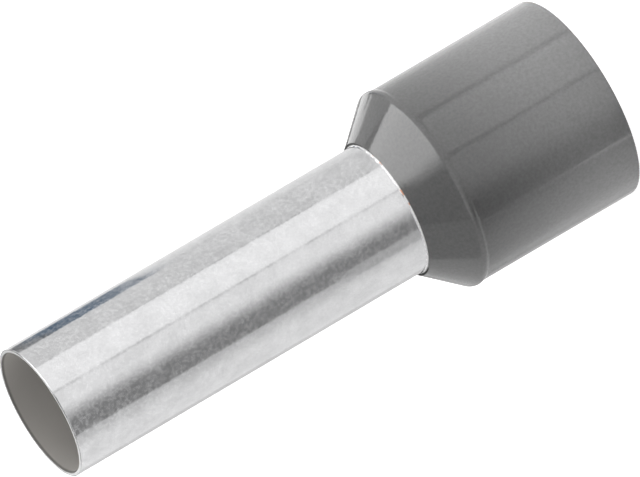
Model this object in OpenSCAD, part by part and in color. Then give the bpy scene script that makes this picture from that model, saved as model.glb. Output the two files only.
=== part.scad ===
// Insulated wire ferrule (bootlace ferrule, wire end sleeve) for a 16 mm2 stranded wire.
//
// Two pieces share the Z axis. The collar's open end is at z = 0, where the wire goes in, and
// the bare barrel of the sleeve points up. The sleeve passes through the collar's neck and
// flares into a bell that lies on the inside of the collar's cone. All sizes are millimetres.

/* [Metal sleeve] */
// Inner diameter of the barrel, which takes the bare strands
barrel_bore = 5.8; // [5.2:0.1:6.4]
// Bare length of the barrel beyond the collar
barrel_length = 18; // [12:0.5:26]
// Wall of the drawn tube
tube_wall = 0.2; // [0.15:0.01:0.25]
// Rounding on the edges of the sleeve's two ends
edge_round = 0.05; // [0.02:0.01:0.07]
// Radial swell that locks the sleeve in the neck
lock_swell = 0.05; // [0.02:0.01:0.1]
// Length of the swell that shows beyond the neck
swell_show = 0.11; // [0.05:0.01:0.15]
// Inside radius of the two bends of the swell
swell_bend = 0.12; // [0.08:0.01:0.15]
// Inside radius of the bend into the bell
bell_bend = 0.25; // [0.15:0.05:0.4]
// Gap between the bell's edge and the collar's bore
bell_gap = 0.15; // [0.1:0.01:0.3]

/* [Insulating collar] */
// Length of the collar
collar_length = 10; // [7:0.5:14]
// Inner diameter of the collar, which takes the wire's insulation
collar_bore = 8.8; // [8.2:0.1:10]
// Wall of the collar
collar_wall = 0.36; // [0.3:0.01:0.5]
// Angle between the cone and the axis
cone_angle = 41; // [32:1:52]
// Taper of the neck's bore, which widens towards the cone so that the core pulls out
neck_taper = 2; // [1:0.5:4]
// Loss of radius from the open end to the shoulder, so that the moulding leaves its die
draft_step = 0.02; // [0:0.01:0.06]
// How far the rounded shoulder stands proud of the side
shoulder_bead = 0.05; // [0.02:0.01:0.1]
// Radius of the shoulder
shoulder_round = 0.3; // [0.2:0.02:0.4]
// Width of the neck's end face round the sleeve
neck_face = 0.1; // [0.08:0.01:0.2]
// Rounding on the edges of the neck's end face
neck_round = 0.03; // [0.01:0.01:0.03]
// Rounding on the edges of the open end
lip_round = 0.1; // [0.05:0.01:0.14]
// Fillet between the bore and the inner cone
bore_fillet = 0.15; // [0.05:0.05:0.4]

/* [Hidden] */
around = 96;
arc_steps = 8;

barrel_r = barrel_bore / 2 + tube_wall;
neck_r = barrel_r + lock_swell;
bore_r = collar_bore / 2;
side_r = bore_r + collar_wall;
shoulder_r = side_r - draft_step;
top_z = collar_length + barrel_length;

// Unit vector at an angle in the half section, where x is the radius and y is the height
function toward(angle) = [cos(angle), sin(angle)];

// Points on an arc about a centre, from one angle to another
function arc(centre, radius, from, to) =
    [for (i = [0 : arc_steps]) centre + radius * toward(from + (to - from) * i / arc_steps)];

// The same points in the opposite order
function reversed(points) = [for (i = [len(points) - 1 : -1 : 0]) points[i]];

// A straight face of the half section is a point on it and the angle of its outward normal.
// An arc that rounds the corner of two faces has its centre one radius under both of them,
// and with a negative radius it lies above them and fills the corner.
function corner_centre(a, b, radius) =
    let (reach_a = a[0] * toward(a[1]) - radius,
         reach_b = b[0] * toward(b[1]) - radius)
    [reach_a * sin(b[1]) - reach_b * sin(a[1]),
     reach_b * cos(a[1]) - reach_a * cos(b[1])] / sin(b[1] - a[1]);
function round_corner(a, b, radius) = arc(corner_centre(a, b, radius), radius, a[1], b[1]);

// Faces of the collar, from the neck down the outside and up the inside. The cone inside lies
// one wall under the cone outside, which starts at the outer edge of the neck's end face.
inner_drop = (collar_wall - neck_face * cos(cone_angle)) / sin(cone_angle);
neck_end = [[neck_r, collar_length], 90];
outer_cone = [[neck_r + neck_face, collar_length], cone_angle];
shoulder = [[shoulder_r + shoulder_bead, 0], 0];
side = [[side_r, 0], 0];
open_end = [[0, 0], -90];
bore = [[bore_r, 0], -180];
inner_cone = [[neck_r, collar_length - inner_drop], cone_angle - 180];
neck_bore = [[neck_r, collar_length], neck_taper - 180];

// The swell is two equal bends, out of the barrel and back onto the neck's bore.
swell_span = 2 * swell_bend + tube_wall;
swell_top = [barrel_r + swell_bend, collar_length + swell_show];
swell_over = (swell_top - neck_bore[0]) * toward(neck_taper) + swell_bend + tube_wall;
swell_angle = neck_taper + acos(swell_over / swell_span);
swell_low = swell_top - swell_span * toward(swell_angle);

// Bend from the neck into the bell, at a depth under the tube's outer face
function bell_arc(depth) =
    arc(corner_centre(neck_bore, inner_cone, bell_bend), bell_bend + depth,
        neck_bore[1], inner_cone[1]);

// One face of the tube from the barrel down to the bell, at a depth under the outer face
function tube_face(depth) = concat(
    arc(swell_top, swell_bend + depth, 180, 180 + swell_angle),
    arc(swell_low, swell_bend + tube_wall - depth, swell_angle, neck_taper),
    bell_arc(depth));

// Tin-plated copper tube: straight barrel, locking swell, and bell cut square to its slope
module metal_sleeve() {
    barrel = [[barrel_r, 0], 0];
    barrel_inside = [[barrel_r - tube_wall, 0], 180];
    rim = [[0, top_z], 90];
    bell_reach = bore_r - bell_gap;
    bell_height = inner_cone[0].y - (bell_reach - neck_r) / tan(cone_angle);
    bell = [[bell_reach, bell_height], cone_angle];
    bell_cut = [bell[0], cone_angle - 90];
    bell_inside = [bell[0] - tube_wall * toward(cone_angle), cone_angle - 180];
    outline = concat(
        round_corner(rim, barrel, edge_round),
        tube_face(0),
        round_corner(bell, bell_cut, edge_round),
        round_corner(bell_cut, bell_inside, edge_round),
        reversed(tube_face(tube_wall)),
        round_corner(barrel_inside, rim, edge_round));
    color([0.80, 0.80, 0.81])
        rotate_extrude($fn = around)
            polygon(outline);
}

// Moulded collar: neck, cone, beaded shoulder, drafted side, open end, bore and inner cone
module insulating_collar() {
    bead_centre = corner_centre(outer_cone, shoulder, shoulder_round);
    bead_angle = acos(1 - shoulder_bead / (2 * shoulder_round));
    waist_centre = bead_centre + 2 * shoulder_round * toward(-bead_angle);
    outline = concat(
        round_corner(neck_end, outer_cone, neck_round),
        arc(bead_centre, shoulder_round, cone_angle, -bead_angle),
        arc(waist_centre, shoulder_round, 180 - bead_angle, 180),
        round_corner(side, open_end, lip_round),
        round_corner(open_end, bore, lip_round),
        round_corner(bore, inner_cone, -bore_fillet),
        reversed(bell_arc(0)),
        round_corner(neck_bore, [neck_end[0], -270], neck_round));
    color([0.47, 0.48, 0.47])
        rotate_extrude($fn = around)
            polygon(outline);
}

metal_sleeve();
insulating_collar();
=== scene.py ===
import math

import bpy
from mathutils import Matrix, Vector


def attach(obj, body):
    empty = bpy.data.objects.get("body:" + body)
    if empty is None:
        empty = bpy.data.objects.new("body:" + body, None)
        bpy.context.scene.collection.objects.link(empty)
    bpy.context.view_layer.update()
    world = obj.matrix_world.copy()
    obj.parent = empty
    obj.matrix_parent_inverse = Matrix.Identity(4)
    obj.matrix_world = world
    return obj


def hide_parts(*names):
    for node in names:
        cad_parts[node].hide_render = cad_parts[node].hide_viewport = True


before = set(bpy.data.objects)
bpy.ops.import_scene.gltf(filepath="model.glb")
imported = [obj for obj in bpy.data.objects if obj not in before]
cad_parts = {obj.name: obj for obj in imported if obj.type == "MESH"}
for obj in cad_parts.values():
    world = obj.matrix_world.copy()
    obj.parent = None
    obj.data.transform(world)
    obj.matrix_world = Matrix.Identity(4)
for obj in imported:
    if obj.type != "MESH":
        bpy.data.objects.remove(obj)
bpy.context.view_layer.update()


# ---------------------------------------------------------------------------------------
# Metal sleeve: one piece of thin copper tube, tin-plated. The straight barrel is cut
# square at its free end. Where it enters the collar it swells a little to lock in the
# neck, then flares into a bell that lies on the inside of the collar's cone.

MM = 0.001  # sizes are in millimetres, and the scene is in metres


def toward(angle):
    """Unit vector at an angle in the half section: x is the radius, y is the height."""
    return Vector((math.cos(math.radians(angle)), math.sin(math.radians(angle))))


def arc(centre, radius, start, end, steps):
    """Points on an arc about a centre, from one angle to another."""
    return [centre + radius * toward(start + (end - start) * i / steps) for i in range(steps + 1)]


def corner_centre(a, b, radius):
    """Centre of the arc that rounds the corner of two faces, given as (point, normal angle)."""
    along_a, along_b = toward(a[1]), toward(b[1])
    reach_a = Vector(a[0]).dot(along_a) - radius
    reach_b = Vector(b[0]).dot(along_b) - radius
    crossing = Vector((reach_a * along_b.y - reach_b * along_a.y,
                       reach_b * along_a.x - reach_a * along_b.x))
    return crossing / math.sin(math.radians(b[1] - a[1]))


def round_corner(a, b, radius, steps):
    """Points of the rounded corner between two faces."""
    return arc(corner_centre(a, b, radius), radius, a[1], b[1], steps)


def turn_piece(name, outline, around=256):
    """A round piece: its closed outline is drawn edge by edge and spun about the Z axis."""
    weld = 0.0004 * MM
    bpy.ops.object.select_all(action="DESELECT")
    bpy.ops.mesh.primitive_plane_add(size=MM, location=(0, 0, 0))
    piece = bpy.context.object
    piece.name = piece.data.name = name
    bpy.ops.object.mode_set(mode="EDIT")
    bpy.ops.mesh.merge(type="CENTER")
    bpy.ops.transform.translate(value=(outline[0].x * MM, 0, outline[0].y * MM))
    for last, point in zip(outline, outline[1:]):
        step = (point - last) * MM
        bpy.ops.mesh.extrude_vertices_move(TRANSFORM_OT_translate={"value": (step.x, 0, step.y)})
    bpy.ops.mesh.select_all(action="SELECT")
    bpy.ops.mesh.remove_doubles(threshold=weld)
    bpy.ops.mesh.select_all(action="DESELECT")
    bpy.ops.object.mode_set(mode="OBJECT")
    ends = [v for v in piece.data.vertices
            if sum(v.index in e.vertices for e in piece.data.edges) == 1]
    for v in ends:
        v.select = True
    bpy.ops.object.mode_set(mode="EDIT")
    bpy.ops.mesh.edge_face_add()
    bpy.ops.mesh.select_all(action="SELECT")
    bpy.ops.mesh.spin(steps=around, angle=math.tau, center=(0, 0, 0), axis=(0, 0, 1))
    bpy.ops.mesh.select_all(action="SELECT")
    bpy.ops.mesh.remove_doubles(threshold=weld)
    bpy.ops.mesh.normals_make_consistent(inside=False)
    bpy.ops.object.mode_set(mode="OBJECT")
    bpy.ops.object.shade_smooth_by_angle(angle=math.radians(35))
    return piece


barrel_length = 18.0
barrel_r = 3.1
tube_wall = 0.2
edge_round = 0.05
lock_swell = 0.05
swell_show = 0.11
swell_bend = 0.12
bell_bend = 0.25
bell_gap = 0.15
collar_length = 10.0
collar_wall = 0.36
bore_r = 4.4
cone_angle = 41.0
neck_face = 0.1
neck_taper = 2.0
inner_r = barrel_r - tube_wall
neck_r = barrel_r + lock_swell
bell_reach = bore_r - bell_gap
top_z = collar_length + barrel_length
inner_drop = (collar_wall - neck_face * toward(cone_angle).x) / toward(cone_angle).y
neck_bore = ((neck_r, collar_length), neck_taper - 180)
inner_cone = ((neck_r, collar_length - inner_drop), cone_angle - 180)

swell_span = 2 * swell_bend + tube_wall
swell_top = Vector((barrel_r + swell_bend, collar_length + swell_show))
swell_over = (swell_top - Vector(neck_bore[0])).dot(toward(neck_taper)) + swell_bend + tube_wall
swell_angle = neck_taper + math.degrees(math.acos(swell_over / swell_span))
swell_low = swell_top - swell_span * toward(swell_angle)


def tube_face(depth):
    """The tube's face from barrel to bell, at a depth under its outer face."""
    bell_centre = corner_centre(neck_bore, inner_cone, bell_bend)
    return (arc(swell_top, swell_bend + depth, 180, 180 + swell_angle, 10)
            + arc(swell_low, swell_bend + tube_wall - depth, swell_angle, neck_taper, 10)
            + arc(bell_centre, bell_bend + depth, neck_bore[1], inner_cone[1], 14))


barrel = ((barrel_r, 0), 0)
barrel_inside = ((inner_r, 0), 180)
rim = ((0, top_z), 90)
bell_height = inner_cone[0][1] - (bell_reach - neck_r) / math.tan(math.radians(cone_angle))
bell_edge = Vector((bell_reach, bell_height))
bell = (bell_edge, cone_angle)
bell_cut = (bell_edge, cone_angle - 90)
bell_inside = (bell_edge - tube_wall * toward(cone_angle), cone_angle - 180)
sleeve = turn_piece("sleeve",
                    round_corner(rim, barrel, edge_round, 8)
                    + tube_face(0)
                    + round_corner(bell, bell_cut, edge_round, 6)
                    + round_corner(bell_cut, bell_inside, edge_round, 6)
                    + tube_face(tube_wall)[::-1]
                    + round_corner(barrel_inside, rim, edge_round, 8))
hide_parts("metal_sleeve")
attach(sleeve, "root")


def sheet_colour(code):
    """Linear colour of an sRGB hex code."""
    parts = [int(code[i:i + 2], 16) / 255 for i in (1, 3, 5)]
    linear = [p / 12.92 if p <= 0.04045 else ((p + 0.055) / 1.055) ** 2.4 for p in parts]
    return (*linear, 1.0)


def add_node(tree, kind, links=None, **settings):
    """A node with its settings. Names in links are input sockets, fed by a socket or a value."""
    node = tree.nodes.new(kind)
    for name, value in settings.items():
        setattr(node, name, value)
    for name, value in (links or {}).items():
        found = [i for i in node.inputs if i.enabled and name in (i.name, i.identifier)]
        socket = found[0] if found else node.inputs[name]
        if isinstance(value, bpy.types.NodeSocket):
            tree.links.new(value, socket)
        else:
            socket.default_value = value
    return node


def new_material(name):
    """An empty node material and its output."""
    material = bpy.data.materials.new(name)
    material.use_nodes = True
    material.node_tree.nodes.clear()
    out = material.node_tree.nodes.new("ShaderNodeOutputMaterial")
    return material, material.node_tree, out


# Tin plating on drawn copper: bright, slightly hazy, with short marks round the tube from its
# drawing and a fine grain in the plating. Inside the barrel it is dull and grey. The sheared
# rim and the pressed swell are matt, and their pale colour is partly the matt metal's own and
# partly painted highlight. A few specks of bare copper show on the front of the swell. The
# real grain is too fine to show, so it is drawn at 0.15 mm.
tinned, tree, out = new_material("tin_plate_on_drawn_copper")
place = add_node(tree, "ShaderNodeTexCoord").outputs["Object"]
split = add_node(tree, "ShaderNodeSeparateXYZ", {0: place})
across = add_node(tree, "ShaderNodeCombineXYZ", {0: split.outputs[0], 1: split.outputs[1]})
radius = add_node(tree, "ShaderNodeVectorMath", {0: across.outputs[0]}, operation="LENGTH")
inside = add_node(tree, "ShaderNodeMapRange",
                  {"Value": radius.outputs["Value"], "From Min": (inner_r + 0.03) * MM,
                   "From Max": (inner_r + 0.05) * MM, "To Min": 1.0, "To Max": 0.0}).outputs[0]
rim_top = add_node(tree, "ShaderNodeMapRange",
                   {"Value": split.outputs[2], "From Min": (top_z - edge_round) * MM,
                    "From Max": (top_z - edge_round / 2) * MM, "To Min": 0.0, "To Max": 1.0})
rim_width = add_node(tree, "ShaderNodeMapRange",
                     {"Value": radius.outputs["Value"], "From Min": (barrel_r - edge_round) * MM,
                      "From Max": (barrel_r - edge_round / 2) * MM, "To Min": 1.0, "To Max": 0.0})
rim_edge = add_node(tree, "ShaderNodeMath", {0: rim_top.outputs[0], 1: rim_width.outputs[0]},
                    operation="MULTIPLY")
ragged_place = add_node(tree, "ShaderNodeTexNoise",
                        {"Vector": place, "Scale": 1 / (0.28 * MM), "Detail": 1.0,
                         "Roughness": 0.6})
ragged = add_node(tree, "ShaderNodeMath",
                  {0: ragged_place.outputs[0], 1: 0.25 * MM, 2: split.outputs[2]},
                  operation="MULTIPLY_ADD")
swell_edge = add_node(tree, "ShaderNodeMapRange",
                      {"Value": ragged.outputs[0], "From Min": (collar_length + 0.19) * MM,
                       "From Max": (collar_length + 0.165) * MM, "To Min": 0.0, "To Max": 1.0})
edge = add_node(tree, "ShaderNodeMath", {0: rim_edge.outputs[0], 1: swell_edge.outputs[0]},
                operation="MAXIMUM").outputs[0]
stroke_place = add_node(tree, "ShaderNodeMapping", {0: place, "Scale": (1, 1, 4.5)})
strokes = add_node(tree, "ShaderNodeTexNoise",
                   {"Vector": stroke_place.outputs[0], "Scale": 1 / (0.5 * MM), "Detail": 2.5,
                    "Roughness": 0.6})
bloom = add_node(tree, "ShaderNodeTexNoise",
                 {"Vector": place, "Scale": 1 / (0.9 * MM), "Detail": 3.0, "Roughness": 0.6})
grain = add_node(tree, "ShaderNodeTexNoise",
                 {"Vector": place, "Scale": 1 / (0.15 * MM), "Detail": 1.5, "Roughness": 0.65})
spots = add_node(tree, "ShaderNodeMath",
                 {0: strokes.outputs[0], 1: 0.2, 2: grain.outputs[0]}, operation="MULTIPLY_ADD")
haze = add_node(tree, "ShaderNodeMapRange",
                {"Value": bloom.outputs[0], "From Min": 0.35, "From Max": 0.65,
                 "To Min": 0.08, "To Max": 0.17})
haze = add_node(tree, "ShaderNodeMix", {"Factor": edge, "A": haze.outputs[0], "B": 0.45})
haze = add_node(tree, "ShaderNodeMix", {"Factor": inside, "A": haze.outputs[0], "B": 0.9})
surface = add_node(tree, "ShaderNodeNewGeometry").outputs["Normal"]
sideways = add_node(tree, "ShaderNodeVectorMath", {0: surface, 1: (0, 0, 1)},
                    operation="CROSS_PRODUCT")
lean = add_node(tree, "ShaderNodeMapRange",
                {"Value": strokes.outputs[0], "From Min": 0.0, "From Max": 1.0,
                 "To Min": -0.02, "To Max": 0.02})
leaning = add_node(tree, "ShaderNodeVectorMath",
                   {0: sideways.outputs[0], "Scale": lean.outputs[0]}, operation="SCALE")
tipped = add_node(tree, "ShaderNodeVectorMath", {0: surface, 1: leaning.outputs[0]},
                  operation="ADD")
tipped = add_node(tree, "ShaderNodeVectorMath", {0: tipped.outputs[0]}, operation="NORMALIZE")
height = add_node(tree, "ShaderNodeMath",
                  {0: grain.outputs[0], 1: 0.35, 2: bloom.outputs[0]}, operation="MULTIPLY_ADD")
relief = add_node(tree, "ShaderNodeBump",
                  {"Height": height.outputs[0], "Strength": 1.0, "Distance": 0.0025 * MM,
                   "Normal": tipped.outputs[0]})
mottle = add_node(tree, "ShaderNodeMapRange",
                  {"Value": spots.outputs[0], "From Min": 0.5, "From Max": 0.72,
                   "To Min": 0.98, "To Max": 1.05})
cloud = add_node(tree, "ShaderNodeMapRange",
                 {"Value": bloom.outputs[0], "From Min": 0.35, "From Max": 0.65,
                  "To Min": 0.94, "To Max": 1.06})
mottle = add_node(tree, "ShaderNodeMath", {0: mottle.outputs[0], 1: cloud.outputs[0]},
                  operation="MULTIPLY")
plate = add_node(tree, "ShaderNodeVectorMath",
                 {0: sheet_colour("#D8D8D9")[:3], "Scale": mottle.outputs[0]}, operation="SCALE")
speck_place = add_node(tree, "ShaderNodeTexNoise",
                       {"Vector": place, "Scale": 1 / (0.6 * MM), "Detail": 2.5,
                        "Roughness": 0.75})
speck = add_node(tree, "ShaderNodeMapRange",
                 {"Value": speck_place.outputs[0], "From Min": 0.58, "From Max": 0.62,
                  "To Min": 0.0, "To Max": 1.0})
pressed = add_node(tree, "ShaderNodeMapRange",
                   {"Value": split.outputs[2], "From Min": (collar_length + 0.05) * MM,
                    "From Max": (collar_length + 0.03) * MM, "To Min": 0.0, "To Max": 1.0})
speck = add_node(tree, "ShaderNodeMath", {0: speck.outputs[0], 1: pressed.outputs[0]},
                 operation="MULTIPLY")
worn_place = add_node(tree, "ShaderNodeMapping", {0: place, "Rotation": (0, 0, math.radians(-18))})
worn_split = add_node(tree, "ShaderNodeSeparateXYZ", {0: worn_place.outputs[0]})
worn_side = add_node(tree, "ShaderNodeMapRange",
                     {"Value": worn_split.outputs[1], "From Min": (0.38 - barrel_r) * MM,
                      "From Max": (0.28 - barrel_r) * MM, "To Min": 0.0, "To Max": 1.0})
speck = add_node(tree, "ShaderNodeMath", {0: speck.outputs[0], 1: worn_side.outputs[0]},
                 operation="MULTIPLY")
# Partly painted highlight: the rim and swell take near-white #F2F2F2, paler than the plate's
# #D8D8D9, besides the copper specks.
bare_and_highlight = add_node(tree, "ShaderNodeMix",
                {"Factor": speck.outputs[0], "A": sheet_colour("#F2F2F2"),
                 "B": sheet_colour("#E0A88C")},
                data_type="RGBA")
plate = add_node(tree, "ShaderNodeMix",
                 {"Factor": edge, "A": plate.outputs[0], "B": bare_and_highlight.outputs["Result"]},
                 data_type="RGBA")
# Painted shade: a dark line drawn in the film's colour just inside the lip. The colour goes down
# to 0.45 between 0.14 and 0.06 mm below the rim, and stays there up to the rim.
painted_lip_shade = add_node(tree, "ShaderNodeMapRange",
                      {"Value": split.outputs[2], "From Min": (top_z - 0.14) * MM,
                       "From Max": (top_z - 0.06) * MM, "To Min": 1.0, "To Max": 0.45})
film = add_node(tree, "ShaderNodeVectorMath",
                {0: sheet_colour("#96938F")[:3], "Scale": painted_lip_shade.outputs[0]},
                operation="SCALE")
plate = add_node(tree, "ShaderNodeMix",
                 {"Factor": inside, "A": plate.outputs["Result"], "B": film.outputs[0]},
                 data_type="RGBA")
shine = add_node(tree, "ShaderNodeMapRange",
                 {"Value": spots.outputs[0], "From Min": 0.5, "From Max": 0.72,
                  "To Min": 1.0, "To Max": 0.81})
shine = add_node(tree, "ShaderNodeMix", {"Factor": edge, "A": shine.outputs[0], "B": 0.45})
shine = add_node(tree, "ShaderNodeMix", {"Factor": inside, "A": shine.outputs[0], "B": 0.25})
metal = add_node(tree, "ShaderNodeBsdfPrincipled",
                 {"Base Color": plate.outputs["Result"], "Metallic": shine.outputs[0],
                  "Roughness": haze.outputs[0], "Normal": relief.outputs[0]})
tree.links.new(metal.outputs[0], out.inputs[0])
sleeve.data.materials.append(tinned)


# ---------------------------------------------------------------------------------------
# Insulating collar: one moulding in grey polypropylene. A short neck grips the sleeve, a
# cone leads down to a rounded shoulder, and a thin-walled cylinder takes the wire's
# insulation. Its open end is cut square, with softly rounded edges.

draft_step = 0.02
shoulder_bead = 0.05
shoulder_round = 0.3
neck_round = 0.03
lip_round = 0.1
bore_fillet = 0.15
side_r = bore_r + collar_wall
outer_cone = ((neck_r + neck_face, collar_length), cone_angle)
shoulder = ((side_r - draft_step + shoulder_bead, 0), 0)
bead_angle = math.degrees(math.acos(1 - shoulder_bead / (2 * shoulder_round)))
bead_centre = corner_centre(outer_cone, shoulder, shoulder_round)
waist_centre = bead_centre + 2 * shoulder_round * toward(-bead_angle)
neck_end = ((neck_r, collar_length), 90)
side = ((side_r, 0), 0)
open_end = ((0, 0), -90)
bore = ((bore_r, 0), -180)
collar = turn_piece("collar",
                    round_corner(neck_end, outer_cone, neck_round, 5)
                    + arc(bead_centre, shoulder_round, cone_angle, -bead_angle, 16)
                    + arc(waist_centre, shoulder_round, 180 - bead_angle, 180, 8)
                    + round_corner(side, open_end, lip_round, 8)
                    + round_corner(open_end, bore, lip_round, 8)
                    + round_corner(bore, inner_cone, -bore_fillet, 6)
                    + arc(corner_centre(neck_bore, inner_cone, bell_bend), bell_bend,
                          inner_cone[1], neck_bore[1], 14)
                    + round_corner(neck_bore, (neck_end[0], -270), neck_round, 5))
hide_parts("insulating_collar")
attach(collar, "root")

# Injection-moulded polypropylene, satin: the die's polish leaves fine lines along the axis
# and a faint grain. Its grey is painted paler towards the open end: painted light, not the
# plastic's own colour.
moulded, tree, out = new_material("satin_moulded_polypropylene")
place = add_node(tree, "ShaderNodeTexCoord").outputs["Object"]
split = add_node(tree, "ShaderNodeSeparateXYZ", {0: place})
drawn_place = add_node(tree, "ShaderNodeMapping", {0: place, "Scale": (1, 1, 0.05)})
die_lines = add_node(tree, "ShaderNodeTexNoise",
                     {"Vector": drawn_place.outputs[0], "Scale": 1 / (0.35 * MM), "Detail": 2.0,
                      "Roughness": 0.6})
grain = add_node(tree, "ShaderNodeTexNoise",
                 {"Vector": place, "Scale": 1 / (0.14 * MM), "Detail": 2.0, "Roughness": 0.6})
height = add_node(tree, "ShaderNodeMath",
                  {0: grain.outputs[0], 1: 0.6, 2: die_lines.outputs[0]}, operation="MULTIPLY_ADD")
relief = add_node(tree, "ShaderNodeBump",
                  {"Height": height.outputs[0], "Strength": 1.0, "Distance": 0.003 * MM})
satin = add_node(tree, "ShaderNodeMapRange",
                 {"Value": grain.outputs[0], "From Min": 0.3, "From Max": 0.7,
                  "To Min": 0.08, "To Max": 0.12})
# Painted light: the grey goes from #626262 near the cone to #888888 towards the open end.
painted_light_to_open_end = add_node(tree, "ShaderNodeMapRange",
                {"Value": split.outputs[2], "From Min": 1.0 * MM,
                 "From Max": (collar_length - 1.0) * MM, "To Min": 1.0, "To Max": 0.0},
                interpolation_type="SMOOTHSTEP")
grey = add_node(tree, "ShaderNodeMix",
                {"Factor": painted_light_to_open_end.outputs[0], "A": sheet_colour("#626262"),
                 "B": sheet_colour("#888888")},
                data_type="RGBA")
shade = add_node(tree, "ShaderNodeMapRange",
                 {"Value": grain.outputs[0], "From Min": 0.3, "From Max": 0.7,
                  "To Min": 0.91, "To Max": 1.09})
grey = add_node(tree, "ShaderNodeVectorMath",
                {0: grey.outputs["Result"], "Scale": shade.outputs[0]}, operation="SCALE")
plastic = add_node(tree, "ShaderNodeBsdfPrincipled",
                   {"Base Color": grey.outputs[0], "IOR": 1.58,
                    "Roughness": satin.outputs[0], "Normal": relief.outputs[0]})
tree.links.new(plastic.outputs[0], out.inputs[0])
collar.data.materials.append(moulded)


# ---------------------------------------------------------------------------------------
# Studio: the ferrule stands on its collar on a white table. Softboxes and grey flags stand
# round it, out of the camera's sight.

def facing(azimuth, elevation, distance):
    """Place at an azimuth from the camera's side towards -X, and an elevation, in degrees."""
    a, e = math.radians(azimuth), math.radians(elevation)
    return Vector((-math.sin(a) * math.cos(e), -math.cos(a) * math.cos(e), math.sin(e))) * distance


middle = Vector((0, 0, top_z / 2 * MM))
free_end = Vector((0, 0, top_z * MM))


def card(name, azimuths, elevations, glow, distance=0.6, fades_from=None, tint=(1, 1, 1, 1)):
    """A curved card or softbox between two azimuths and two elevations, in degrees.

    fades_from holds another glow and two azimuths: it changes to the card's glow between them.
    """
    bpy.ops.object.select_all(action="DESELECT")
    bpy.ops.mesh.primitive_plane_add(size=MM, location=(0, 0, 0))
    board = bpy.context.object
    board.name = board.data.name = name
    bpy.ops.object.mode_set(mode="EDIT")
    bpy.ops.mesh.merge(type="CENTER")
    bpy.ops.transform.translate(value=middle + facing(azimuths[0], elevations[0], distance))
    hinge = facing(azimuths[0] - 90, 0, 1)
    bpy.ops.mesh.spin(steps=8, angle=math.radians(elevations[1] - elevations[0]),
                      center=middle, axis=hinge)
    bpy.ops.mesh.select_all(action="SELECT")
    bpy.ops.mesh.spin(steps=12, angle=math.radians(azimuths[1] - azimuths[0]),
                      center=middle, axis=(0, 0, 1))
    bpy.ops.mesh.select_all(action="SELECT")
    bpy.ops.mesh.remove_doubles(threshold=0.01 * MM)
    bpy.ops.object.mode_set(mode="OBJECT")
    board.visible_camera = False
    cloth, tree, out = new_material(name + "_cloth")
    strength = glow
    if fades_from:
        place = add_node(tree, "ShaderNodeTexCoord").outputs["Object"]
        split = add_node(tree, "ShaderNodeSeparateXYZ", {0: place})
        left = add_node(tree, "ShaderNodeMath", {0: split.outputs[0], 1: -1.0},
                        operation="MULTIPLY")
        front = add_node(tree, "ShaderNodeMath", {0: split.outputs[1], 1: -1.0},
                         operation="MULTIPLY")
        turn = add_node(tree, "ShaderNodeMath", {0: left.outputs[0], 1: front.outputs[0]},
                        operation="ARCTAN2")
        fade = add_node(tree, "ShaderNodeMapRange",
                        {"Value": turn.outputs[0], "From Min": math.radians(fades_from[1]),
                         "From Max": math.radians(fades_from[2]), "To Min": fades_from[0],
                         "To Max": glow},
                        interpolation_type="SMOOTHSTEP")
        strength = fade.outputs[0]
    lit = add_node(tree, "ShaderNodeEmission", {"Color": tint, "Strength": strength})
    tree.links.new(lit.outputs[0], out.inputs[0])
    board.data.materials.append(cloth)
    return board


# The key softbox stands high on the +X side. The tall boards reach from straight below to the
# horizon, and each shows as one band along the upright barrel. The fills stand above them.
card("key_softbox", (-116.5, -2), (28, 66), 0.0, fades_from=(3.65, -44, -4))
card("bright_card", (-68.0, -18.4), (-88, 5), 1.16)
card("seam_card", (-18.4, -15.2), (-88, 5), 0.74)
card("front_card", (-15.2, 4), (-88, 5), 1.04)
card("grey_card", (4, 62), (-88, 5), 0.28, fades_from=(1.06, 4, 40))
card("left_card", (62, 146), (-88, -6), 0.95, fades_from=(0.67, 62, 96))
card("left_fill", (66, 165), (-6, 28), 0.9)
card("upper_fill", (72, 146), (28, 58), 0.4)
card("back_left_card", (146, 176), (-88, -6), 0.7)
card("back_card", (176, 212), (-88, -8), 0.92)
card("rim_softbox", (196, 216), (-8, 13), 1.8)
card("right_fill", (-144, -116), (-5, 28), 0.6)
card("back_right_card", (-148, -129), (-88, -5), 0.88)
card("right_card", (-129, -68.8), (-88, -5), 0.79)
card("front_fill", (-30, 64), (5, 52), 0.9).visible_diffuse = False
card("side_fill", (-116, -30), (-9, 27), 0.9, distance=0.62).visible_diffuse = False

# Two bounces shape the soft light on the plastic and don't show in the metal.
for bounce in (card("right_bounce", (-125, -55), (0, 18), 3.95, distance=0.5),
               card("left_bounce", (105, 135), (0, 50), 3.6, distance=0.5)):
    bounce.visible_glossy = False

# Small flags and cards close to the ferrule show only as reflections: a blue strip at the
# barrel's free end, a grey strip by the collar, and the dark band and thin lines on the collar.
beside_barrel = 60 * MM
beside_collar = 40 * MM
for flag in (
        card("blue_flag", (-146, -115), (-5.7, -2.5), 0.73, beside_barrel,
             tint=sheet_colour("#6C8299")),
        card("pale_flag", (-146, -115), (-8.4, -5.7), 0.79, beside_barrel,
             tint=sheet_colour("#8593A3")),
        card("dark_flag", (-146, -115), (-2.5, 3), 0.19, beside_barrel),
        card("low_flag", (52, 69.5), (-35, -14.4), 0.52, beside_collar),
        card("collar_flag", (13, 59.5), (-44, -25), 0.0, beside_collar, fades_from=(0.9, 13, 43)),
        card("collar_edge_card", (-165, -136), (-44, -25), 1.08, beside_collar),
        card("collar_line", (59.5, 62.5), (-44, -25), 1.5, beside_collar),
        card("first_seam", (-68.5, -61.5), (-44, -25), 0.2, beside_collar),
        card("second_seam", (-15.5, -12.5), (-44, -25), 0.35, beside_collar)):
    flag.visible_shadow = flag.visible_diffuse = False

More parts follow.
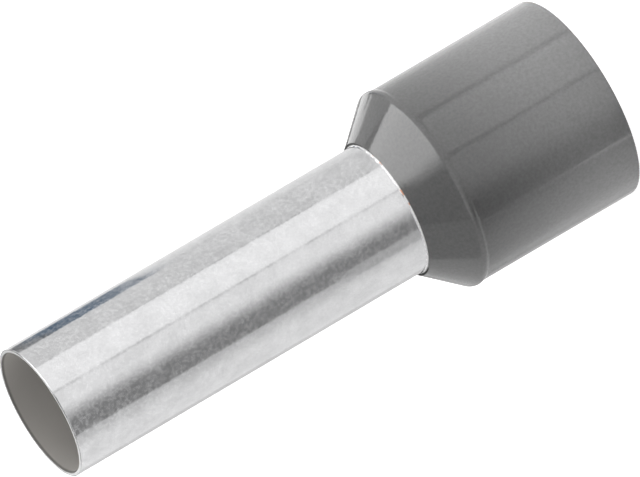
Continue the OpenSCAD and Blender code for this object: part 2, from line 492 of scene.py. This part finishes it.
# A small card over the mouth lights the inside of the barrel.
bpy.ops.object.select_all(action="DESELECT")
to_mouth_card = facing(55, 35, 1)
bpy.ops.mesh.primitive_plane_add(size=6 * MM, location=free_end + to_mouth_card * 12 * MM,
                                 rotation=to_mouth_card.to_track_quat("Z", "Y").to_euler())
mouth_card = bpy.context.object
mouth_card.name = mouth_card.data.name = "mouth_card"
mouth_card.visible_camera = mouth_card.visible_glossy = mouth_card.visible_shadow = False
cloth, tree, out = new_material("mouth_card_cloth")
lit = add_node(tree, "ShaderNodeEmission", {"Strength": 9.6})
tree.links.new(lit.outputs[0], out.inputs[0])
mouth_card.data.materials.append(cloth)

# The table takes the ferrule's shadow, and reflections pass through it to the boards below.
bpy.ops.object.select_all(action="DESELECT")
bpy.ops.mesh.primitive_plane_add(size=6, location=(0, 0, 0))
table = bpy.context.object
table.name = table.data.name = "table"
table.visible_glossy = False
white_table, tree, out = new_material("white_table")
path = add_node(tree, "ShaderNodeLightPath")
matt = add_node(tree, "ShaderNodeBsdfDiffuse", {"Color": sheet_colour("#F0F0F0")})
lift = add_node(tree, "ShaderNodeMath", {0: path.outputs["Is Camera Ray"], 1: 0.75},
                operation="MULTIPLY")
lit = add_node(tree, "ShaderNodeEmission", {"Strength": lift.outputs[0]})
both = add_node(tree, "ShaderNodeAddShader", {0: matt.outputs[0], 1: lit.outputs[0]})
tree.links.new(both.outputs[0], out.inputs[0])
table.data.materials.append(white_table)

world = bpy.data.worlds.new("studio")
bpy.context.scene.world = world
world.use_nodes = True
tree = world.node_tree
tree.nodes.clear()
path = add_node(tree, "ShaderNodeLightPath")
seen = add_node(tree, "ShaderNodeMix",
                {"Factor": path.outputs["Is Camera Ray"], "A": 0.02, "B": 1.0})
room = add_node(tree, "ShaderNodeBackground", {"Color": (1, 1, 1, 1), "Strength": seen.outputs[0]})
out = add_node(tree, "ShaderNodeOutputWorld", {0: room.outputs[0]})


# ---------------------------------------------------------------------------------------
# Camera: a long lens, a little above the free end, turned so that the ferrule lies
# slanting across the view with its barrel down to the left.

lens_mm = 1100
elevation = 17.77
roll = 120.45
distance = 833.9 * MM
back = facing(0, elevation, 1.0)
camera_data = bpy.data.cameras.new("camera")
camera_data.lens = lens_mm
camera_data.clip_end = 10
camera = bpy.data.objects.new("camera", camera_data)
bpy.context.scene.collection.objects.link(camera)
upright = (-back).to_track_quat("-Z", "Y").to_matrix()
turned = upright @ Matrix.Rotation(math.radians(-roll), 3, "Z")
off_centre = Vector((11.931, 7.441, 0)) * MM
aim = free_end + turned @ off_centre
camera.matrix_world = Matrix.Translation(aim + back * distance) @ turned.to_4x4()
bpy.context.scene.camera = camera

bpy.context.scene.view_settings.view_transform = "Standard"
